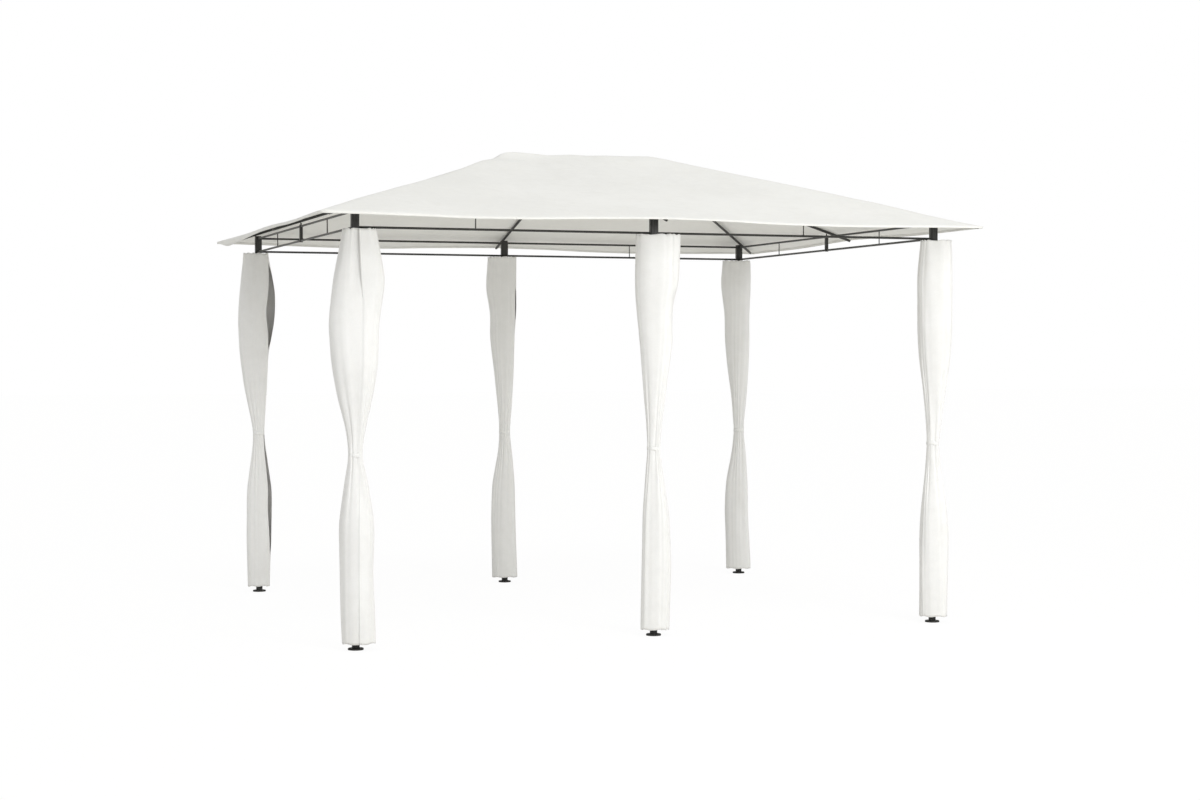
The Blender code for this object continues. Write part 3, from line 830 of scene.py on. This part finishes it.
# How far the CAD curtain reaches left and right of its post, from the bottom up.
def stationsOf(spot):
    middle = postPlace(spot)[0]
    rings = {}
    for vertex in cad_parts["curtain_" + spot].data.vertices:
        height = round(vertex.co.z, 3)
        left, right = rings.get(height, (0.0, 0.0))
        across = vertex.co.x - middle
        rings[height] = (max(left, -across), max(right, across))
    heights = sorted(rings)
    lefts, rights = np.array([rings[height] for height in heights]).T
    return np.array(heights), lefts, rights


# The section at each height from the top down: its reach to the left and the right, and its depth.
def curtainSection(spot):
    shape = curtainShape
    zs, lefts, rights = stationsOf(spot)
    heights = np.linspace(zs[-1], zs[0], shape["rows"])
    left, right = [blurred(np.interp(heights, zs, reach), shape["sideBlur"]) for reach in (lefts, rights)]
    # The cloth can't stretch, so where it is wide it is flat.
    half = (left + right) / 2
    room = 2 * (shape["stripWidth"] / (2 * pi)) ** 2 - half ** 2
    flat = np.sqrt(np.maximum(room, shape["flatDepth"] ** 2))
    depth = np.maximum(np.minimum(half * curtains[spot]["deep"], flat), shape["waistDepth"])
    return heights, left, right, blurred(depth, shape["depthBlur"])


# The strip's edge at each height: its angle, and how far it stands out and to the right.
def edgeAt(table, heights):
    table = sorted(table)
    zs = [entry[0] for entry in table]
    columns = [np.interp(heights, zs, [entry[part] for entry in table]) for part in (1, 2, 3)]
    angle, out, right = [blurred(column, curtainShape["sideBlur"])[:, None] for column in columns]
    return np.radians(angle), out / 1000, right / 1000


# Where the strip laps over itself the layer beneath is tucked in.
def tuckUnder(angle, first, last, over):
    lap = angle - first[0] - 2 * pi if over == "from" else last[0] - 2 * pi - angle
    return curtainShape["tuck"] * smoothStep(lap / radians(curtainShape["tuckAngle"]))


# Pleats run the whole height, deepest at the tie and the top. Gives where they are and their depth.
def pleatsAt(angle, z, top, off, rng):
    shape = curtainShape
    drift = sum(turn * np.sin(count * angle + anyStart(rng)) for turn, count in shape["drift"])
    twist, perMetre = shape["twist"]
    turned = angle + drift + twist * np.sin(z * perMetre + anyStart(rng))
    pleat = (0.5 - 0.5 * np.cos(shape["pleats"] * turned)) ** shape["pleatCurve"]
    tall = shape["tiePleat"] * np.exp(-(off / shape["tiePleatReach"]) ** 2)
    tall += shape["topPleat"] * np.exp(-(top - z) / shape["topPleatReach"])
    tall += shape["bodyPleat"]
    return pleat, tall * pleat


# An edge stands off the outline by its own shift, less and less further into the strip.
def edgeShare(edge, away):
    least, more = curtainShape["edgeReach"]
    fullOut, fullRight = curtainShape["edgeFull"]
    wide = least + more * np.minimum(np.abs(edge[1]) / fullOut + np.abs(edge[2]) / fullRight, 1.0)
    return np.exp(-(away / wide) ** 2)


# The cloth's slow unevenness over the whole strip.
def softnessAt(angle, z, seed):
    shape = curtainShape
    around, up = shape["softStretch"]
    ring = np.broadcast_arrays(np.cos(angle) * around, np.sin(angle) * around, z * up)
    return shape["softness"] * waves(np.stack(ring, axis=-1), shape["softSize"], seed + shape["softSeed"])


def makeCurtain(spot, seed):
    shape, own = curtainShape, curtains[spot]
    rng = np.random.default_rng(seed)
    heights, left, right, depth = curtainSection(spot)
    z, top = heights[:, None], heights[0]
    strip = np.linspace(0.0, 1.0, shape["columns"])[None, :]
    first, last = edgeAt(own["from"], heights), edgeAt(own["to"], heights)
    angle = first[0] + (last[0] - first[0]) * strip
    off = np.abs(z - own["tie"])
    free = smoothStep((off - shape["tieGrip"]) / shape["gripFades"])
    pleat, pleatDepth = pleatsAt(angle, z, top, off, rng)
    inward = pleatDepth + tuckUnder(angle, first, last, own["over"])
    # The tie holds the cloth, so folds and unevenness fade out near it.
    for at, width, out, middle, reach, sharp in own["folds"]:
        near = (np.degrees(angle) - at + 180) % 360 - 180
        bump = np.exp(-np.abs(near) / width) if sharp else np.exp(-(near / width) ** 2)
        inward = inward - out / 1000 * bump * np.exp(-((z - middle) / reach) ** 4) * free
    inward = inward - softnessAt(angle, z, seed) * free
    nearFirst, nearLast = edgeShare(first, strip) * free, edgeShare(last, 1 - strip) * free
    inward = inward - first[1] * nearFirst - last[1] * nearLast
    reach = np.where(np.cos(angle) > 0, right[:, None], left[:, None])
    sideways, deep = [np.sign(turned) * np.abs(turned) ** own["square"]
                      for turned in (np.cos(angle), np.sin(angle))]
    across = (reach - inward) * sideways + first[2] * nearFirst + last[2] * nearLast
    points = seenFromCamera(spot, across, (depth[:, None] - inward) * deep, z)
    # The foot's edge has a wave to every two pleats, and the top's edge dips between the pleats.
    low = smoothStep((shape["footWaveHeight"] - z) / shape["footWaveHeight"])
    hem = shape["footWave"] * np.sin(shape["pleats"] * angle * 0.5) * low
    hem = hem - shape["topGather"] * pleat * np.exp(-(top - z) / shape["topGatherReach"])
    points[:, :, 2] += hem
    return gridObject("curtain_cloth_" + spot, points, curtainMaps(points, z), False, curtainCloth,
                      shape["thickness"])


# Points round a post, from how far they lie to the camera's right and away from the camera.
def seenFromCamera(spot, across, away, z):
    place = np.array(postPlace(spot))
    view = place - np.array(cameraStand["place"][:2])
    view /= np.linalg.norm(view)
    side = np.array([view[1], -view[0]])
    x, y = [place[axis] + across * side[axis] + away * view[axis] for axis in (0, 1)]
    return np.stack([x, y, np.broadcast_to(z, x.shape)], axis=-1)


# The cloth map runs along the strip and up it. The hem map runs from the nearer edge, and up.
def curtainMaps(points, z):
    width = distancesAlong(points)
    up = np.broadcast_to(z, width.shape)
    toEdge = np.minimum(width, width[:, -1:] - width)
    return {"clothMap": np.stack([width, up], axis=-1), "hemMap": np.stack([toEdge, up], axis=-1)}


# A tie: a soft band that is gathered tight. Lengths are in metres, and each wave is a size and a
# count round the band.
tieShape = {
    "seed": 31,
    "height": 0.018,
    "thickness": 0.0016,
    "inside": 0.0317,
    "steps": 96,
    # Round the band's section, out in shares of its thickness and up in shares of half its height.
    "section": ((0.0, -1.0), (0.5, -0.96), (1.0, -0.8), (0.8, 0.0), (1.0, 0.8), (0.5, 0.96), (0.0, 1.0)),
    "ripple": ((0.0005, 11), (0.0003, 23)),
    "lean": ((0.0018, 1), (0.0006, 5)),
    "pinch": (0.12, 7),  # its size is a share of the band's height
    "mapHeight": 0.03,
    "hemOffset": 0.008,
    "weld": 0.0001,
}


# Two waves round the band, of which the first starts anywhere.
def tieWaves(angle, sizes, rng):
    (first, count), (second, more) = sizes
    return first * np.sin(count * angle + anyStart(rng)) + second * np.sin(more * angle)


def makeTie(spot, seed):
    shape = tieShape
    rng = np.random.default_rng(seed)
    x, y = postPlace(spot)
    angle = np.linspace(0, 2 * pi, shape["steps"], endpoint=False)
    ripple = tieWaves(angle, shape["ripple"], rng)
    lean = tieWaves(angle, shape["lean"], rng)
    pinchDepth, pinches = shape["pinch"]
    pinch = 1 - pinchDepth * np.sin(pinches * angle + anyStart(rng))
    rows = []
    for out, up in shape["section"]:
        radius = shape["inside"] + shape["thickness"] * out + ripple
        height = curtains[spot]["tie"] + shape["height"] / 2 * up * pinch + lean
        rows.append(np.column_stack([x + radius * np.cos(angle), y + radius * np.sin(angle), height]))
    points = np.array(rows + [rows[0]])
    uv = np.zeros(points.shape[:2] + (2,))
    uv[:, :, 0] = angle[None, :] * shape["inside"]
    uv[:, :, 1] = np.linspace(0, shape["mapHeight"], len(points))[:, None]
    maps = {"clothMap": uv, "hemMap": uv[:, :, ::-1] + np.array([shape["hemOffset"], 0.0])}
    return gridObject("tie_band_" + spot, points, maps, True, curtainCloth, weld=shape["weld"])


for count, spot in enumerate(spots):
    cloth = makeCurtain(spot, curtainShape["seed"] + count)
    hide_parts("curtain_" + spot)
    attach(cloth, "root")
    band = makeTie(spot, tieShape["seed"] + count)
    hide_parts("tie_" + spot)
    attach(band, "root")
print("curtains made")


# The stage: a pale floor and soft light. Angles are in degrees and a turn is from the front.
stageLook = {
    "floor": (0.88, 0.868, 0.84),
    "floorReach": 60.0,
    "floorGlow": 1.012,
    "floorSeenWhite": 0.94,
    "sunTurn": 0.0,
    "sunRise": 52.0,
    "sunPower": 0.83,
    "sunSoft": 36.0,
    "sky": 0.80,
    "boxPlace": (2.6, -9.5, 3.8),
    "boxAim": (0.0, -1.0, 1.0),
    "boxSize": 2.6,
    "boxPower": 280.0,
}


# The camera sees a share of the plain shader, and the part is lit by the shade alone.
def mixForCamera(tree, shade, plain, share):
    mix = newNode(tree, "ShaderNodeMixShader")
    seen = newNode(tree, "ShaderNodeLightPath").outputs["Is Camera Ray"]
    feed(tree, mix.inputs["Fac"], mathNode(tree, "MULTIPLY", seen, share))
    feed(tree, mix.inputs[1], shade.outputs[0])
    feed(tree, mix.inputs[2], plain.outputs[0])
    return mix.outputs[0]


def addFloor():
    reach = stageLook["floorReach"]
    mesh = bpy.data.meshes.new("floor")
    mesh.from_pydata([(-reach, -reach, 0), (reach, -reach, 0), (reach, reach, 0), (-reach, reach, 0)],
                     [], [(0, 1, 2, 3)])
    floor = bpy.data.objects.new("floor", mesh)
    scene.collection.objects.link(floor)
    material = bpy.data.materials.new("paleFloor")
    material.use_nodes = True
    tree = material.node_tree
    tree.nodes.clear()
    out = newNode(tree, "ShaderNodeOutputMaterial")
    diffuse = newNode(tree, "ShaderNodeBsdfDiffuse")
    feed(tree, diffuse.inputs["Color"], stageLook["floor"])
    glow = newNode(tree, "ShaderNodeEmission")
    feed(tree, glow.inputs["Color"], white)
    feed(tree, glow.inputs["Strength"], stageLook["floorGlow"])
    feed(tree, out.inputs["Surface"], mixForCamera(tree, diffuse, glow, stageLook["floorSeenWhite"]))
    mesh.materials.append(material)


# A lamp that shines from the side to which the vector away points.
def addLamp(name, kind, away, **settings):
    light = bpy.data.lights.new(name, kind)
    for label, value in settings.items():
        setattr(light, label, value)
    lamp = bpy.data.objects.new(name, light)
    lamp.rotation_mode = "QUATERNION"
    lamp.rotation_quaternion = away.to_track_quat("Z", "Y")
    scene.collection.objects.link(lamp)
    return lamp


def addLights():
    look = stageLook
    turn, rise = radians(look["sunTurn"]), radians(look["sunRise"])
    towards = Vector((sin(turn) * cos(rise), -cos(turn) * cos(rise), sin(rise)))
    addLamp("sun", "SUN", towards, energy=look["sunPower"], angle=radians(look["sunSoft"]))
    # A soft box at the front right reaches the curtains' tops, which the roof shades from the sun.
    away = Vector(look["boxPlace"]) - Vector(look["boxAim"])
    box = addLamp("softBox", "AREA", away, energy=look["boxPower"], size=look["boxSize"])
    box.location = look["boxPlace"]
    box.visible_camera = False


def addSky():
    world = bpy.data.worlds.new("studio")
    scene.world = world
    world.use_nodes = True
    tree = world.node_tree
    tree.nodes.clear()
    out = newNode(tree, "ShaderNodeOutputWorld")
    sky = newNode(tree, "ShaderNodeBackground")
    feed(tree, sky.inputs["Strength"], stageLook["sky"])
    seenSky = newNode(tree, "ShaderNodeBackground")
    feed(tree, seenSky.inputs["Color"], white)
    feed(tree, out.inputs["Surface"], mixForCamera(tree, sky, seenSky, 1.0))


addFloor()
addLights()
addSky()
scene.view_settings.view_transform = "Standard"
print("stage set")
